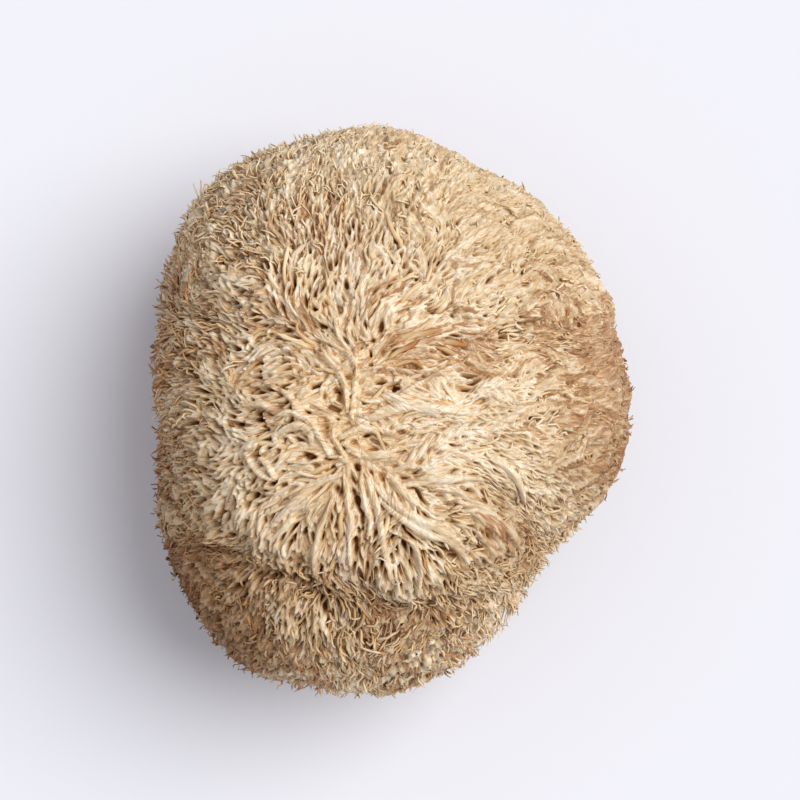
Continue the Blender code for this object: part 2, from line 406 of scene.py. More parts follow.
RIBS = (
    (0.75, ((-16.5, 0.5), (-14.0, -1.0), (-12.6, -3.0), (-10.9, -5.0), (-9.8, -7.0), (-8.4, -9.7))),
    (0.7, ((-19.5, -2.2), (-17.2, -2.2), (-15.4, -3.3), (-13.2, -3.5), (-11.6, -4.4), (-10.8, -6.2))),
    (0.65, ((-8.0, -5.6), (-8.0, -7.0), (-7.2, -8.4), (-6.4, -9.7), (-5.4, -11.2), (-4.7, -13.0))),
    (0.6, ((-8.6, -9.7), (-7.5, -9.7), (-6.3, -10.3), (-5.8, -11.4), (-5.9, -13.0))),
    (0.8, ((-6.8, -7.8), (-5.8, -8.3), (-4.4, -9.1), (-2.4, -9.5), (-0.4, -9.4), (1.2, -8.6))),
    (0.5, ((-6.0, -8.9), (-4.2, -9.7), (-2.0, -9.9), (0.2, -9.8))),
    (0.9, ((-7.2, -7.0), (-5.6, -6.2), (-3.6, -5.7), (-1.4, -5.9), (0.8, -6.6))),
    (1.2, ((-5.2, -4.8), (-3.0, -4.4), (-0.4, -3.2), (2.8, -2.5), (6.5, -2.8), (10.5, -3.3))),
    (0.8, ((-4.4, -1.4), (-2.6, -1.9), (-0.2, -1.2), (1.6, -1.6), (4.0, -2.1))),
    (0.7, ((-5.6, -3.6), (-5.2, -1.5), (-5.0, 0.5), (-4.9, 2.5), (-5.8, 4.2), (-8.0, 5.9), (-10.6, 8.0))),
    (0.7, ((-6.1, -3.2), (-6.2, -1.0), (-6.6, 0.6), (-7.6, 2.1), (-8.9, 3.4), (-10.2, 4.4))),
    (0.6, ((-4.9, 3.0), (-4.6, 5.0), (-5.2, 7.0), (-5.8, 9.2))),
    (0.6, ((-5.0, 2.8), (-5.9, 5.0), (-6.9, 7.5), (-7.6, 10.2))),
    (0.5, ((-4.6, 1.8), (-2.2, 2.2), (0.0, 2.4), (2.8, 1.9), (5.0, 1.9), (7.2, 2.9), (9.2, 4.4))),
    (0.5, ((1.0, -1.4), (3.8, 0.2), (6.8, 1.7), (9.6, 3.0))),
    (0.9, ((-6.5, -12.2), (-8.6, -12.7), (-10.6, -13.8), (-12.2, -15.1), (-14.0, -16.8), (-15.6, -18.6))),
    (0.7, ((-6.4, -11.2), (-6.2, -13.5), (-5.9, -16.0), (-5.5, -18.2), (-5.6, -20.6), (-5.3, -23.6))),
    (0.7, ((-3.9, -12.0), (-3.9, -14.0), (-3.3, -16.5), (-2.6, -18.6), (-3.1, -20.8))),
    (0.8, ((-3.3, -12.2), (-2.4, -14.5), (-1.6, -17.0), (-1.2, -19.5), (-0.8, -22.0), (0.1, -24.6))),
    (0.9, ((-2.7, -12.5), (-1.0, -14.8), (1.5, -16.8), (4.0, -18.5), (7.0, -19.6), (9.2, -21.2))),
    (0.8, ((-1.4, -15.6), (0.6, -17.5), (3.0, -19.2), (5.0, -20.1), (7.4, -20.6), (9.4, -22.2))),
    (0.6, ((-8.0, -15.4), (-8.8, -17.5), (-9.8, -19.5), (-10.3, -22.5), (-10.2, -25.0))),
    (0.6, ((-19.4, -8.8), (-18.5, -10.5), (-17.3, -12.0), (-15.8, -12.8))),
    (0.6, ((-17.6, -9.6), (-16.4, -10.8), (-15.5, -12.6))),
    (0.9, ((1.4, -13.9), (3.5, -13.4), (6.0, -12.8), (8.6, -12.6), (11.6, -12.3))),
    (0.8, ((0.4, -12.9), (2.0, -14.6), (3.5, -16.2))),
    (0.9, ((8.7, -14.3), (10.5, -15.4), (12.5, -17.7), (14.8, -20.1))),
    (0.8, ((8.8, -15.6), (11.0, -17.3), (13.0, -19.5))),
    (0.6, ((13.6, -8.9), (15.5, -9.5), (17.0, -11.0), (17.6, -13.2))),
    (0.5, ((0.0, -19.9), (2.0, -20.6), (3.3, -21.8), (3.5, -23.8), (2.7, -25.6))),
    (0.9, ((-15.8, -6.6), (-14.0, -5.6), (-12.2, -5.2), (-11.2, -6.2), (-11.0, -7.6))),
)  # the boldest ribs round the crest: widths, and paths in plan, in millimetres
RIB_RISE = 0.55 * MM
RIB_STEPS = 14  # the points that a rib's smooth path is drawn through
PITS = (
    (-7.0, -0.9, 1.6, 0.5, 88, 1.6), (-11.4, -9.5, 0.8, 0.55, 150, 2.6), (-3.5, -6.7, 0.8, 0.3, 15, 2.4),
    (1.0, 0.1, 0.9, 0.28, 50, 2.8), (-5.1, 1.7, 0.6, 0.25, 75, 2.4), (-2.6, 4.7, 0.5, 0.2, 100, 2.2),
    (-18.0, -3.4, 0.7, 0.35, 160, 3.0), (-17.4, -4.8, 0.9, 0.35, 125, 2.4),
    (-13.4, -3.7, 0.5, 0.3, 160, 1.8),
    (-14.3, -1.6, 1.5, 0.4, 125, 1.6), (-7.6, -8.4, 0.9, 0.5, 100, 1.3), (-9.2, -5.6, 1.6, 0.5, 95, 1.5),
    (-4.6, -11.3, 0.5, 0.4, 0, 1.8), (-8.0, -11.4, 0.7, 0.3, 80, 2.0), (-5.0, -12.6, 0.9, 0.35, 105, 2.2),
    (-7.3, -14.6, 0.6, 0.4, 110, 2.0), (-4.5, -16.0, 1.3, 0.35, 112, 3.0), (-3.8, -18.4, 1.0, 0.3, 85, 2.2),
    (-7.0, -18.6, 1.2, 0.5, 75, 1.3), (-4.6, -21.2, 1.8, 0.3, 85, 2.4), (-12.0, -20.0, 0.5, 0.3, 60, 2.6),
    (-18.8, -15.4, 0.9, 0.4, 60, 3.0), (-1.0, -12.5, 0.7, 0.5, 60, 1.5), (3.6, -12.3, 0.9, 0.4, 0, 1.2),
    (4.0, -15.0, 1.3, 0.3, 125, 2.6), (9.8, -14.6, 1.2, 0.35, 130, 1.8), (6.8, -15.0, 0.9, 0.5, 150, 1.0),
    (2.6, -20.3, 1.3, 0.25, 140, 3.0), (-2.8, -2.8, 1.1, 0.5, 30, 1.0), (-2.7, 2.8, 0.4, 0.25, 20, 2.2),
)  # the plainest hollows: place, half length, half width, direction in degrees and depth


def nearest_rib(points):
    """How far inside its nearest rib each point is, from 1 on the rib's middle to 0 or less."""
    inside = np.full(len(points), -9.0)
    place = points[:, :2] / MM
    for width, path in RIBS:
        path = smooth_between(np.array(path), np.linspace(0.0, len(path) - 1.001, RIB_STEPS), False)
        for number, (start, end) in enumerate(zip(path[:-1], path[1:])):
            run = end - start
            share = np.clip((place - start) @ run / (run @ run), 0.0, 1.0)
            gap = np.linalg.norm(place - start - run * share[:, None], axis=1)
            fade = min(1.0, 0.2 + 0.2 * number, 0.2 + 0.2 * (RIB_STEPS - 2 - number))
            reach = 0.75 * width * (0.4 + 0.6 * fade)
            inside = np.maximum(inside, np.minimum(1.0 - gap / reach, fade))
    return inside


def pitted(points):
    """How deep the plainest hollows are at these points."""
    depth = np.zeros(len(points))
    for x, y, length, width, angle, most in PITS:
        gap = points[:, :2] / MM - (x, y)
        turn = math.radians(angle)
        ahead = gap @ (math.cos(turn), math.sin(turn)) / length
        aside = gap @ (-math.sin(turn), math.cos(turn)) / width
        away = np.hypot(ahead, aside) + 0.3 * ripple(points, 1.2 * MM, 8)
        depth = np.maximum(depth, 0.75 * most * MM * eased(1.4 - away))
    return depth


BROWNED = (
    (-23.0, 30.0, 6.0, 0.6), (-9.0, 23.0, 8.0, 0.45), (-15.0, 12.0, 8.0, 0.45), (-22.0, 9.0, 6.0, 0.35),
    (1.5, 5.0, 5.0, 0.8), (7.5, 6.5, 6.0, 0.75), (12.0, 5.5, 5.0, 0.8), (1.5, 13.0, 5.0, 0.4),
    (24.5, 8.5, 6.0, 0.9), (31.0, 6.0, 9.0, 1.3), (34.0, -3.0, 9.0, 1.25), (22.0, 13.0, 5.0, 0.6),
    (29.0, -7.0, 6.0, 0.7), (32.0, -14.0, 7.0, 0.9), (31.0, 18.0, 6.0, 0.6), (13.0, -18.0, 6.0, 0.45),
    (-28.0, 19.0, 9.0, 0.3),
    (6.0, -30.0, 4.0, 0.5), (-1.0, -32.0, 4.0, 0.8), (-6.0, -26.0, 4.0, 0.6), (1.5, -41.0, 6.0, 0.7),
    (10.0, -38.0, 5.0, 0.7), (22.0, -34.0, 5.0, 0.4),
    (-13.0, -42.0, 6.0, 0.8), (-24.0, -35.0, 8.0, 1.1), (-30.0, -24.0, 8.0, 1.0),
    (-35.0, -10.0, 7.0, 1.1), (-36.0, 6.0, 7.0, 1.1), (-34.0, 20.0, 7.0, 0.9),
)  # where the tips have browned, in the same units


PALED = (
    (12.0, -8.0, 8.0, 0.9), (14.0, -3.0, 8.0, 0.9), (3.0, -14.0, 6.0, 0.7), (-14.0, 18.0, 7.0, 0.6),
    (15.0, -29.0, 7.0, 1.0), (-22.0, 26.0, 8.0, 0.5), (-9.0, 30.0, 7.0, 0.6), (-18.0, 2.0, 5.0, 0.6),
    (-8.0, -15.0, 7.0, 0.8), (3.0, -29.0, 4.0, 0.8), (-6.0, -36.0, 6.0, 0.3),
)  # where the coat has stayed palest, in the same units


def brownness(points):
    """How brown the tips have turned, from 0 to 1."""
    return np.maximum(patches(points, BROWNED), 0.08)


def web_relief(places, normals, polar):
    """How far the web stands over places of the flesh, its looks there, and their hollows."""
    own, other, border = hollows(places, hollow_seeds, hollow_flows, hollow_reach, HOLLOW_STRETCH)
    rib = eased(1.3 - 1.3 * border / (RIB_SHARE * hollow_width(places)))
    notch = 0.55 * ((hollow_luck[own] + hollow_luck[other]) % 1.0) ** 2
    sunk = (1.0 - rib) * depths[own] + rib * notch * 0.5 * (depths[own] + depths[other])
    fibre, _, groove = hollows(places, fibre_seeds, fibre_flows, fibre_reach, FIBRE_STRETCH)
    groove = (1.0 - eased(groove / FIBRE_GROOVE)) * crownness(places, 16.0 * MM)
    bold = np.sqrt(np.clip(nearest_rib(places), 0.0, 1.0))
    sunk = sunk * (1.0 - eased(bold * 1.5)) + pitted(places) * (1.0 - bold)
    rise = web_level(places, normals) - sunk - GROOVE_DEPTH * groove + RIB_RISE * bold
    rise += 0.25 * MM * ripple(places, 5.0 * MM, 6)
    rise -= HEM_DEPTH * eased((polar - WEB_SPREAD + HEM) / HEM)
    rib = np.maximum(rib, eased(bold * 2.0))
    in_fibres = crownness(places, 28.0 * MM) > 0.2
    tone = np.where(in_fibres, fibre_luck[fibre], 0.3 + 0.4 * hollow_luck[own])
    tone = np.clip(tone + 0.45 * np.maximum(bare(places), patches(places, PALED)), 0.0, 1.0)
    luck = np.where(in_fibres, fibre_luck[fibre - 1], hollow_luck[other])
    browned = eased((brownness(places) - luck + 0.15) / 0.3)
    # the aged_and_shaded look carries age and painted shade, on the left and front and in the furrow
    looks = {"rib": rib, "sunk": sunk / (2.0 * MM), "groove": groove, "chance": tone,
             "brown": browned * rib,
             "aged_and_shaded": np.maximum(patches(places, AGED_AND_SHADED), 0.5 * furrow_shade(places, 3.0 * MM))}
    return rise, looks, own


def web_grain(places, normals, own):
    """How far places lie across and along their hollow, in widths and lengths of its fibres."""
    gap = places - hollow_seeds[own]
    ahead = (gap * hollow_flows[own]).sum(axis=1)
    aside = (gap * np.cross(normals, hollow_flows[own])).sum(axis=1)
    return np.column_stack((aside / FINE_WIDTH, ahead / FINE_LENGTH, 100.0 * hollow_luck[own]))


def keep_looks(mesh, looks):
    """Keeps each look at the corner points of the mesh, where its finish reads it."""
    for look, values in looks.items():
        mesh.attributes.new(look, "FLOAT", "POINT").data.foreach_set("value", values.ravel())


def web_piece(name, columns, rings, near, far):
    """A ring of the web, as a grid wound round the crest between two angles off its pole."""
    bpy.ops.mesh.primitive_grid_add(x_subdivisions=columns, y_subdivisions=rings, size=2.0)
    piece = bpy.context.object
    piece.name = piece.data.name = name
    share = corners_of(piece)[:, :2] * 0.5 + 0.5
    angle = -math.tau * share[:, 0]
    polar = near + (far - near) * share[:, 1]
    around = np.column_stack((np.cos(angle) * np.sin(polar), np.sin(angle) * np.sin(polar), np.cos(polar)))
    tilt = Vector((0.0, 0.0, 1.0)).rotation_difference(WEB_POLE).to_matrix()
    places = flesh_points(unit(around @ np.array(tilt).T))
    _, normals = on_skin(places)
    rise, looks, own = web_relief(places, normals, polar)
    move_corners(piece, places + normals * rise[:, None])
    keep_looks(piece.data, looks)
    grain = web_grain(places, normals, own)
    piece.data.attributes.new("grain", "FLOAT_VECTOR", "POINT").data.foreach_set("vector", grain.ravel())
    bpy.ops.object.mode_set(mode="EDIT")
    bpy.ops.mesh.select_all(action="SELECT")
    bpy.ops.mesh.remove_doubles(threshold=1e-7)
    bpy.ops.object.mode_set(mode="OBJECT")
    bpy.ops.object.shade_smooth()
    piece.data.materials.append(web_finish)
    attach(piece, "root")


def feed(tree, socket, value):
    """Links a node's output to this socket, or sets a number or colour on it."""
    if isinstance(value, bpy.types.NodeSocket):
        tree.links.new(value, socket)
    else:
        socket.default_value = value


def attribute(tree, name, output="Fac"):
    """What the corner points of the piece keep under this name."""
    node = tree.nodes.new("ShaderNodeAttribute")
    node.attribute_name = name
    return node.outputs[output]


def maths(tree, operation, *values):
    """What the operation gives for outputs and numbers."""
    node = tree.nodes.new("ShaderNodeMath")
    node.operation = operation
    for socket, value in zip(node.inputs, values):
        feed(tree, socket, value)
    return node.outputs[0]


def mottled(tree, way, scale, detail=2.0):
    """Soft noise laid along a way."""
    node = tree.nodes.new("ShaderNodeTexNoise")
    for label, value in (("Vector", way), ("Scale", scale), ("Detail", detail)):
        feed(tree, node.inputs[label], value)
    return node.outputs["Fac"]


def ramp(tree, factor, stops):
    """The colour that the stops give for a factor."""
    node = tree.nodes.new("ShaderNodeValToRGB")
    elements = node.color_ramp.elements
    while len(elements) < len(stops):
        elements.new(0.5)
    for element, (place, colour) in zip(elements, stops):
        element.position = place
        element.color = (*colour, 1.0)
    feed(tree, node.inputs["Fac"], factor)
    return node.outputs["Color"]


def blended(tree, factor, first, second, kind="MIX"):
    """The first colour, blended by the factor with the second."""
    node = tree.nodes.new("ShaderNodeMix")
    node.data_type = "RGBA"
    node.blend_type = kind
    for index, value in ((0, factor), (6, first), (7, second)):
        feed(tree, node.inputs[index], value)
    return node.outputs[2]


def shaded(tree, colour, factor, stops):
    """The colour times the shade that the stops give for a factor."""
    return blended(tree, 1.0, colour, ramp(tree, factor, stops), "MULTIPLY")


def effect(name, inputs, outputs):
    """An empty group for an effect that both finishes use, with its inputs and outputs."""
    group = bpy.data.node_groups.new(name, "ShaderNodeTree")
    for side, labels in (("INPUT", inputs), ("OUTPUT", outputs)):
        for label, kind in labels.items():
            group.interface.new_socket(name=label, in_out=side, socket_type="NodeSocket" + kind)
    given = group.nodes.new("NodeGroupInput").outputs
    return group, given, group.nodes.new("NodeGroupOutput").inputs


def placed(tree, group, values):
    """The outputs of an effect, placed in a finish with its own values."""
    node = tree.nodes.new("ShaderNodeGroup")
    node.node_tree = group
    for label, value in values.items():
        feed(tree, node.inputs[label], value)
    return node.outputs


WHITE = (1.0, 1.0, 1.0)
# painted shade and age: the colour darkened by how much of both the look gives
ageing_and_shade, given, made = effect("ageing_and_shade", {"Colour": "Color", "Age": "Float"}, {"Colour": "Color"})
feed(ageing_and_shade, made["Colour"],
     shaded(ageing_and_shade, given["Colour"], given["Age"], ((0.0, WHITE), (1.0, (0.54, 0.39, 0.23)))))

fibre_grain, given, made = effect(
    "fibre_grain",
    {"Colour": "Color", "Way": "Vector", "Scale": "Float", "Detail": "Float", "Groove": "Color",
     "Groove Below": "Float", "Rib Above": "Float", "Strength": "Float"},
    {"Colour": "Color", "Height": "Float"})
fibres = mottled(fibre_grain, given["Way"], given["Scale"], given["Detail"])
light = fibre_grain.nodes.new("ShaderNodeMapRange")
for label, value in (("Value", fibres), ("From Min", given["Groove Below"]),
                     ("From Max", given["Rib Above"])):
    feed(fibre_grain, light.inputs[label], value)
shade = blended(fibre_grain, light.outputs["Result"], given["Groove"], (*WHITE, 1.0))
feed(fibre_grain, made["Colour"],
     blended(fibre_grain, given["Strength"], given["Colour"], shade, "MULTIPLY"))
feed(fibre_grain, made["Height"], fibres)

web_finish, tree, shader = finish_tree("fused_web")
shader.inputs["Roughness"].default_value = 0.6
tone = attribute(tree, "chance")
way = attribute(tree, "grain", "Vector")
colour = ramp(tree, tone, (
    (0.0, (0.74, 0.56, 0.33)), (0.5, (0.84, 0.68, 0.45)), (1.0, (0.95, 0.84, 0.65))))
# painted shade: a dark brown line where each rib meets the hollow beside it, and rib tops a little lighter
# than the floors
colour = shaded(tree, colour, attribute(tree, "rib"), (
    (0.0, (0.95, 0.91, 0.85)), (0.12, (0.53, 0.34, 0.18)), (0.35, (0.95, 0.91, 0.85)), (0.8, WHITE)))
# painted shade: the deeper a hollow, the darker and browner its floor
colour = shaded(tree, colour, attribute(tree, "sunk"), (
    (0.0, WHITE), (0.5, (0.92, 0.86, 0.77)), (0.75, (0.74, 0.59, 0.42)), (1.0, (0.38, 0.22, 0.10))))
# painted shade in the grooves round the crown's fibres
colour = shaded(tree, colour, attribute(tree, "groove"), ((0.3, WHITE), (1.0, (0.89, 0.77, 0.61))))
brown = ramp(tree, tone, (
    (0.0, (0.28, 0.105, 0.03)), (0.5, (0.42, 0.18, 0.05)), (1.0, (0.52, 0.27, 0.10))))
streaked = maths(tree, "MULTIPLY_ADD", mottled(tree, way, 0.8), 5.0, -1.7)
streaked.node.use_clamp = True
streaked = maths(tree, "MULTIPLY", streaked, attribute(tree, "brown"))
colour = blended(tree, streaked, colour, brown)
# darker with age, and with painted shade on the left and front and in the furrow
colour = placed(tree, ageing_and_shade, {"Colour": colour, "Age": attribute(tree, "aged_and_shaded")})["Colour"]
grained = placed(tree, fibre_grain, {
    "Colour": colour, "Way": way, "Scale": 1.0, "Detail": 3.0, "Groove": (0.66, 0.50, 0.34, 1.0),
    "Groove Below": 0.36, "Rib Above": 0.49, "Strength": 0.85})
bump = tree.nodes.new("ShaderNodeBump")
bump.inputs["Strength"].default_value = 0.6
bump.inputs["Distance"].default_value = 0.15 * MM
feed(tree, bump.inputs["Height"], grained["Height"])
feed(tree, shader.inputs["Normal"], bump.outputs["Normal"])
feed(tree, shader.inputs["Base Color"], grained["Colour"])

chance = np.random.default_rng(11)
hollow_seeds, hollow_flows, hollow_reach = web_seeds(
    chance, HOLLOWS, lambda p, n: (n[:, 2] > -0.5) / hollow_width(p) ** 2, 0.3)
outward = np.clip(crest_distance(hollow_seeds)[0] / (24.0 * MM), 0.0, 1.0)
depth_luck, kind_luck, hollow_luck = chance.uniform(0.0, 1.0, (3, HOLLOWS))
depths = (0.45 + 0.9 * depth_luck) * (0.85 + 1.1 * shaggy(hollow_seeds)) * (0.9 + 0.9 * outward) * MM
depths *= 1.0 - 0.35 * patches(hollow_seeds, PALED)
depths[kind_luck < 0.42 - 0.29 * outward] *= 0.35  # the filled ones
depths[kind_luck > 0.95 - 0.1 * outward] = DEEPEST_HOLLOW
fibre_seeds, fibre_flows, fibre_reach = web_seeds(
    chance, FIBRES, lambda p, n: crownness(p, 30.0 * MM) > 0.2, 0.12)
fibre_luck = chance.uniform(0.0, 1.0, FIBRES)
web_piece("crown_web", 480, 90, 0.0, CROWN_SPREAD)
web_piece("shoulder_web", 1200, 76, CROWN_SPREAD, SHOULDER_SPREAD)
web_piece("mantle_web", 1500, 65, SHOULDER_SPREAD, MANTLE_SPREAD)
web_piece("rim_web", 1400, 60, MANTLE_SPREAD, RIM_SPREAD)
web_piece("flank_web", 700, 36, RIM_SPREAD, WEB_SPREAD)

# Coat of spines
# Each spine is a soft tooth of flesh, now dried to a curved strand. Neighbours that
# grew fused at their roots part into fingers, and all are combed away from the crest.
STEM_TOP = 3.2 * MM  # the stem's side is bare below this height
BUN_BOTTOM = 9.0 * MM  # the bun's own coat ends at this height, above the stem
FLOOR_GAP = 0.45 * MM
ROOT_DEPTH = 0.8 * MM  # the bun's spines start this far inside the web
COMBING = 0.2  # how strongly each step of a spine is drawn back to the combed flow
SHORT = np.array((0.0, 0.2, 0.44, 0.68, 0.88, 1.0))  # where the knots of a spine are
LONG = np.array((0.0, 0.13, 0.28, 0.44, 0.6, 0.76, 0.91, 1.0))
SECTION = ((1.0, -0.2), (0.0, 0.55), (-1.0, -0.2))  # shares of half the width
ROUND_SECTION = ((1.0, -0.4), (0.7, 0.35), (0.0, 0.7), (-0.7, 0.35), (-1.0, -0.4))
SHORTER = ((12.0, -41.0, 6.0, 0.8), (21.0, -36.0, 6.0, 0.4), (29.0, -29.0, 6.0, 0.8),
           (12.0, 42.0, 8.0, 1.0))  # where spines are shorter, in the units of the web's patches


def strands(name, along, knots, ups, halves, roll, looks, section=SECTION):
    """One mesh of all the strands: tubes that run to a point, shaded as if round."""
    count, steps = knots.shape[:2]
    sides = len(section)
    ahead = unit(np.gradient(knots, axis=1))
    side = unit(np.cross(ahead, ups))
    up = np.cross(side, ahead)
    spin = roll[:, None, None]
    side, up = side * np.cos(spin) + up * np.sin(spin), up * np.cos(spin) - side * np.sin(spin)
    across, over = np.array(section).T
    half = halves[:, :, None, None]
    ring = knots[:, :, None] + (
        side[:, :, None] * across[:, None] + up[:, :, None] * over[:, None]) * half
    points = np.concatenate((ring[:, :-1].reshape(count, -1, 3), knots[:, -1:], knots[:, :1]), axis=1)
    each = points.shape[1]
    spot = np.arange((steps - 1) * sides).reshape(steps - 1, sides)
    after = np.roll(spot, -1, axis=1)
    quads = np.stack((spot[:-1], spot[1:], after[1:], after[:-1]), axis=-1).reshape(-1, 4)
    tip = np.full(sides, each - 2)
    root = np.full(sides, each - 1)
    ends = np.concatenate((np.stack((after[-1], spot[-1], tip), axis=1),
                           np.stack((spot[0], after[0], root), axis=1)))
    first = (np.arange(count) * each)[:, None, None]
    quads = (quads + first).reshape(-1, 4)
    ends = (ends + first).reshape(-1, 3)
    mesh = bpy.data.meshes.new(name)
    mesh.vertices.add(count * each)
    mesh.vertices.foreach_set("co", points.ravel())
    mesh.loops.add(quads.size + ends.size)
    mesh.loops.foreach_set("vertex_index", np.concatenate((quads.ravel(), ends.ravel())))
    mesh.polygons.add(len(quads) + len(ends))
    starts = np.concatenate((np.arange(len(quads)) * 4, quads.size + np.arange(len(ends)) * 3))
    mesh.polygons.foreach_set("loop_start", starts)
    mesh.polygons.foreach_set("use_smooth", np.ones(len(starts), bool))
    mesh.update(calc_edges=True)
    at_points = {"across": np.tile(np.append(np.tile(across, steps - 1), (0.0, 0.0)), count)}
    for look, value in looks.items():
        at_points[look] = np.concatenate(
            (np.repeat(value[:, :-1], sides, axis=1), value[:, -1:], value[:, :1]), axis=1)
    keep_looks(mesh, at_points)
    mesh.materials.append(spine_finish)
    piece = bpy.data.objects.new(name, mesh)
    bpy.context.scene.collection.objects.link(piece)
    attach(piece, "root")


spine_finish, tree, shader = finish_tree("dried_spine")
shader.inputs["Roughness"].default_value = 0.7
tone, along, across = (attribute(tree, look) for look in ("chance", "along", "across"))
colour = ramp(tree, tone, (
    (0.0, (0.72, 0.53, 0.29)), (0.5, (0.90, 0.72, 0.45)), (1.0, (0.96, 0.83, 0.60))))
# painted shade: strands darker towards their roots, deep among their neighbours
colour = shaded(tree, colour, along, (
    (0.0, (0.55, 0.34, 0.17)), (0.3, (0.94, 0.85, 0.72)), (0.5, WHITE)))
# partly brown strand edges, partly painted shade between neighbouring strands: the sides of each strand
# darker
edge = maths(tree, "MULTIPLY", maths(tree, "ABSOLUTE", across), attribute(tree, "edging"))
colour = shaded(tree, colour, edge, ((0.55, WHITE), (1.0, (0.60, 0.39, 0.20))))
streak = tree.nodes.new("ShaderNodeCombineXYZ")
for socket, look, scale in zip(streak.inputs, (across, tone, along), (1.6, 60.0, 2.5)):
    feed(tree, socket, maths(tree, "MULTIPLY", look, scale))
colour = placed(tree, fibre_grain, {
    "Colour": colour, "Way": streak.outputs["Vector"], "Scale": 1.5, "Detail": 2.0,
    "Groove": (0.80, 0.66, 0.49, 1.0), "Groove Below": 0.35, "Rib Above": 0.55,
    "Strength": 0.7})["Colour"]
brown = ramp(tree, tone, (
    (0.0, (0.27, 0.095, 0.018)), (0.4, (0.50, 0.21, 0.05)), (0.75, (0.48, 0.26, 0.11)),
    (1.0, (0.64, 0.47, 0.36))))
colour = blended(tree, attribute(tree, "brown"), colour, brown)
# darker with age, and with painted shade on the left and front and in the furrow
colour = placed(tree, ageing_and_shade, {"Colour": colour, "Age": attribute(tree, "aged_and_shaded")})["Colour"]
feed(tree, shader.inputs["Base Color"], colour)


def grown(roots, along, bend, lengths, heights):
    """The knots of strands that walk over the skin from their roots, and the way up there.

    bend is how far they turn from the shared flow by each knot, and heights how far they
    stand off the skin at each knot.
    """
    places, normals = on_skin(roots)
    knots = []
    ups = []
    strides = np.append(np.diff(along), 0.0)
    heading = turned(wandering(places, normals), normals, bend[:, 0])
    for knot, stride in enumerate(strides):
        knots.append(places + normals * heights[:, knot, None])
        ups.append(normals)
        heading = heading + COMBING * wandering(places, normals)
        heading = unit(heading - normals * (heading * normals).sum(axis=1, keepdims=True))
        heading = turned(heading, normals, bend[:, knot] - bend[:, max(knot - 1, 0)])
        places, normals = on_skin(places + heading * (lengths * stride)[:, None])
    knots = np.stack(knots, axis=1)
    knots[:, :, 2] = np.maximum(knots[:, :, 2], FLOOR_GAP)
    return knots, np.stack(ups, axis=1)


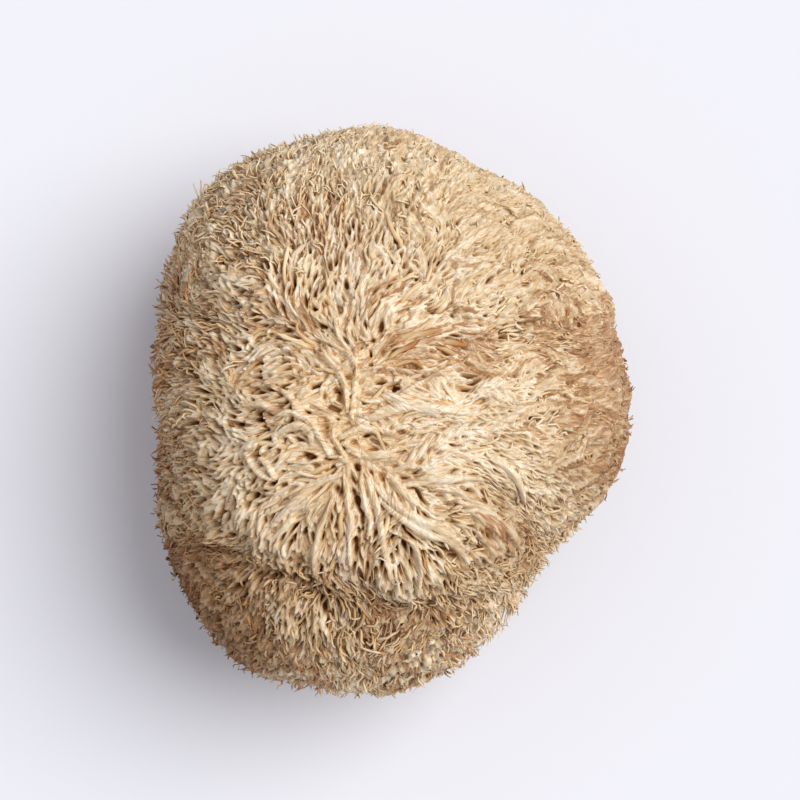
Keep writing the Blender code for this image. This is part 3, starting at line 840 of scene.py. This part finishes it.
def coat(name, seed, count, fingers, along, weight, length, height, width,
         spread=0.35, stray=0.3, wave=0.4, lift=0.3, fused=0.5, section=SECTION):
    """A layer of the coat: fronds scattered over the skin, each of a few fused strands.

    weight, length, height and width say how closely they grow at a place, how long and how
    wide they are and how far their ends stand off the skin. spread, stray and wave are how
    far they fan out, turn aside and bend, in radians, lift is how far some ends rise, in
    millimetres, and fused is the share whose ends sink into the web.
    """
    chance = np.random.default_rng(seed)
    roots = np.repeat(scattered(chance, count, weight), fingers, axis=0)

    def each_frond(values):
        return np.repeat(values, fingers, axis=0)

    total = count * fingers
    finger = np.tile(np.linspace(-1.0, 1.0, fingers), count) + chance.uniform(-0.1, 0.1, total)
    places, normals = on_skin(roots)
    loose = shaggy(places)[:, None]
    moss = mossy(places)
    matted = (1.0 - shaggy(places)) * (1.0 - moss)
    wide = width(places, normals) * each_frond(chance.uniform(0.75, 1.25, count))
    wide = wide * chance.uniform(0.7, 1.25, total) * (1.0 - 0.15 * moss)
    ahead = wandering(places, normals)
    side = np.cross(normals, ahead)
    roots = roots + side * (finger * wide * 0.42 * (fingers - 1))[:, None]
    roots += ahead * chance.normal(0.0, 0.5 * MM, (total, 1))
    # a frond's strands lie together up to its opening and fan out past it
    opening = each_frond(chance.uniform(0.2, 0.65, (count, 1)))
    fan = each_frond(chance.normal(spread, 0.6 * spread, (count, 1)))
    bend = finger[:, None] * fan * np.clip((along - opening) / 0.3, 0.0, 1.0)
    tangle = (1.0 + 1.6 * moss)[:, None]
    bend = bend + each_frond(chance.normal(0.0, stray, (count, 1))) * tangle
    bend += each_frond(chance.normal(0.0, 1.2 * wave, (count, 1))) * (along - 0.3) * tangle
    bend += chance.normal(0.0, 1.3 * wave, (total, 1)) * (along - 0.3) * tangle
    kinks = np.cumsum(chance.normal(0.0, 0.5 * wave, (total, len(along))), axis=1)
    bend += (kinks - kinks[:, :1]) * tangle
    long = length(places, normals) * each_frond(chance.uniform(0.7, 1.3, count))
    long = long * chance.uniform(0.6, 1.15, total) * (1.0 - 0.5 * moss)
    high = height(places, normals) * each_frond(chance.uniform(0.8, 1.0, count))
    high = high * chance.uniform(0.95, 1.0, total)
    base = web_level(places, normals) - ROOT_DEPTH
    base = (base * (normals[:, 2] > -0.2) * (places[:, 2] > BUN_BOTTOM))[:, None]
    bow = 1.1 + 0.7 * np.clip(normals[:, 2], 0.0, 1.0)[:, None]
    rise = 1.0 - (1.0 - along) ** bow
    heights = base + (high[:, None] - base) * rise
    # some ends curl up off the coat, and others sink into the web
    lifts = each_frond(chance.normal(0.0, lift, (count, 1)))
    lifts = lifts + chance.normal(0.0, 0.5 * lift, (total, 1))
    steep = np.clip(1.0 - normals[:, 2], 0.0, 1.0)[:, None]
    heights += lifts * MM * (along ** 2) * (0.5 + 1.0 * loose) * (1.0 - 0.6 * steep)
    ends = (chance.uniform(0.0, 1.0, total) < fused * np.clip(1.6 * normals[:, 2], 0.0, 1.0))[:, None]
    heights -= ends * (high[:, None] - base + 0.2 * MM) * 0.8 * eased((along - 0.55) / 0.45)
    heights += chance.normal(0.0, 0.07, heights.shape) * MM
    knots, ups = grown(roots, along, bend, long, heights)
    # browned tips, pale places, aged places and painted shade, and less painted shade between matted
    # strands
    luck = 0.5 * each_frond(chance.uniform(0.0, 1.0, count)) + 0.5 * chance.uniform(0.0, 1.0, total)
    browned = eased((1.15 * brownness(knots[:, -1]) - luck + 0.15) / 0.35)
    fade = np.clip((along - 0.25) / 0.5, 0.0, 1.0)
    tint = 0.4 * each_frond(chance.uniform(0.0, 1.0, count)) + 0.6 * chance.uniform(0.0, 1.0, total)
    tint = np.clip(tint + 0.45 * patches(roots, PALED), 0.0, 1.0)
    light = (0.35 * matted * (1.0 - bare(roots)))[:, None]
    # painted shade in the furrow under the overhang of the upper lobe
    furrow = furrow_shade(roots, 2.5 * MM) * (normals[:, 2] > 0.0)
    # age and painted shade, on the left and front and in the furrow over the lower lobe
    aged_and_shaded = np.maximum(patches(roots, AGED_AND_SHADED), 0.6 * furrow)
    looks = {"chance": np.repeat(tint[:, None], len(along), axis=1), "brown": browned[:, None] * fade,
             "aged_and_shaded": np.repeat(aged_and_shaded[:, None], len(along), axis=1),
             "edging": np.repeat(1.0 - light, len(along), axis=1), "along": along + light * (1.0 - along)}
    roll = each_frond(chance.normal(0.0, 0.3, count)) + chance.normal(0.0, 0.2, total)
    taper = np.minimum(1.0, 3.2 * (1.0 - along) ** 0.75) * (0.6 + 0.4 * np.minimum(along * 5.0, 1.0))
    halves = wide[:, None] * 0.5 * taper * (1.0 + chance.normal(0.0, 0.12, (total, len(along))))
    strands(name, along, knots, ups, halves, roll, looks, section)


def upper(points, normals):
    """How closely the bun's own coat grows: in clumps where it is shaggy, and not on the crest."""
    clumps = np.clip(1.0 + (0.2 + 0.8 * shaggy(points)) * ripple(points, 4.5 * MM, 5), 0.1, 2.5)
    clumps = clumps * (0.75 + 0.5 * shaggy(points))
    on_bun = (normals[:, 2] > -0.45) & (points[:, 2] > BUN_BOTTOM)
    return on_bun * clumps * (1.0 - bare(points)) ** 2


def lower(points, normals):
    """1 where the short spines under the bun and round the stem grow."""
    return np.where((normals[:, 2] < 0.1) & (points[:, 2] > STEM_TOP), 1.0, 0.0)


def stand(points, normals):
    """How far the spines stand out: low on the crown, and to the outline on the flanks."""
    flank = 1.0 - np.clip(normals[:, 2], 0.0, 1.0)
    tips = 1.0 - patches(points, SHORTER)
    extra = (0.25 + 0.45 * shaggy(points) + tips * flank ** 2.2) * (1.0 - 0.35 * mossy(points))
    return web_level(points, normals) + extra * MM


def off_stem(points):
    """The share of their length that spines have, least where the stem's bare side begins."""
    return 0.35 + 0.65 * eased((points[:, 2] - STEM_TOP) / (8.0 * MM))


def whorl(points, normals):
    """Where the thick cords of the crown's star grow."""
    distance, _ = crest_distance(points)
    return (distance > 2.0 * MM) * (distance < 15.0 * MM) * (points[:, 2] > 0.5 * CREST_HEIGHT)


coat("outer_spines", 33, 920, 3, LONG, upper,
     length=lambda p, n: (3.2 + (1.0 + 0.5 * shaggy(p)) * np.clip(1.5 * n[:, 2], 0.0, 1.0)
                          + 2.0 * crownness(p, 20.0 * MM)) * MM,
     height=stand, width=lambda p, n: (0.42 + 0.08 * crownness(p, 22.0 * MM)) * MM,
     wave=0.5, lift=0.3, fused=0.9)
coat("loose_spines", 34, 1750, 2, SHORT, upper,
     length=lambda p, n: 2.0 * MM + 1.0 * MM * crownness(p, 20.0 * MM),
     height=lambda p, n: stand(p, n) + 0.1 * MM, stray=0.5, wave=0.9, lift=0.35, fused=0.4,
     width=lambda p, n: (0.4 + 0.1 * crownness(p, 24.0 * MM)) * MM)
coat("small_cords", 35, 44, 3, LONG, whorl,
     length=lambda p, n: np.full(len(p), 6.5 * MM), height=lambda p, n: web_level(p, n) + 0.2 * MM,
     width=lambda p, n: np.full(len(p), 0.75 * MM), spread=0.45, section=ROUND_SECTION)
coat("under_spines", 25, 680, 3, SHORT, lower,
     length=lambda p, n: 3.0 * MM * off_stem(p), height=lambda p, n: 4.5 * MM * off_stem(p),
     width=lambda p, n: np.full(len(p), 0.6 * MM))

# Stage
# A plain pale floor, a large soft lamp high on the right and a little behind, and the
# camera, which looks down on the crown from slightly in front.
bpy.ops.mesh.primitive_plane_add(size=4.0, location=(0.0, 0.0, 0.0))
floor = bpy.context.object
floor.name = "floor"
floor_finish, _, paper = finish_tree("floor_paper")
paper.inputs["Base Color"].default_value = (0.82, 0.84, 0.90, 1.0)
paper.inputs["Roughness"].default_value = 0.9
floor.data.materials.append(floor_finish)

world = bpy.data.worlds.new("studio")
world.use_nodes = True
world.node_tree.nodes["Background"].inputs["Color"].default_value = (0.95, 0.92, 0.97, 1.0)
world.node_tree.nodes["Background"].inputs["Strength"].default_value = 0.5
bpy.context.scene.world = world


def aim(thing, target):
    """Turns a lamp or camera to look at the target."""
    thing.rotation_euler = (Vector(target) - thing.location).to_track_quat("-Z", "Y").to_euler()


lamp_data = bpy.data.lights.new("soft_lamp", "SUN")
lamp_data.energy = 2.5
lamp_data.angle = math.radians(50.0)
lamp_data.color = (1.0, 0.985, 0.96)
lamp = bpy.data.objects.new("soft_lamp", lamp_data)
lamp.location = (0.46, 0.15, 0.62)
bpy.context.scene.collection.objects.link(lamp)
aim(lamp, (0.0, 0.0, 0.0))

PIXELS_PER_MM = 6.42
PHOTO_SIDE = 800
LENS = 100.0
SENSOR = 36.0
VIEW_ELEVATION = math.radians(84.0)
MIDDLE_HEIGHT = 23.0 * MM
view_width = PHOTO_SIDE / PIXELS_PER_MM * MM
camera_data = bpy.data.cameras.new("camera")
camera_data.lens = LENS
camera_data.sensor_width = SENSOR
camera = bpy.data.objects.new("camera", camera_data)
bpy.context.scene.collection.objects.link(camera)
target = Vector((1.4 * MM, 1.2 * MM, MIDDLE_HEIGHT))
distance = view_width * LENS / SENSOR
camera.location = target + distance * Vector((0.0, -math.cos(VIEW_ELEVATION), math.sin(VIEW_ELEVATION)))
aim(camera, target)
bpy.context.scene.camera = camera
bpy.context.scene.view_settings.view_transform = "Standard"
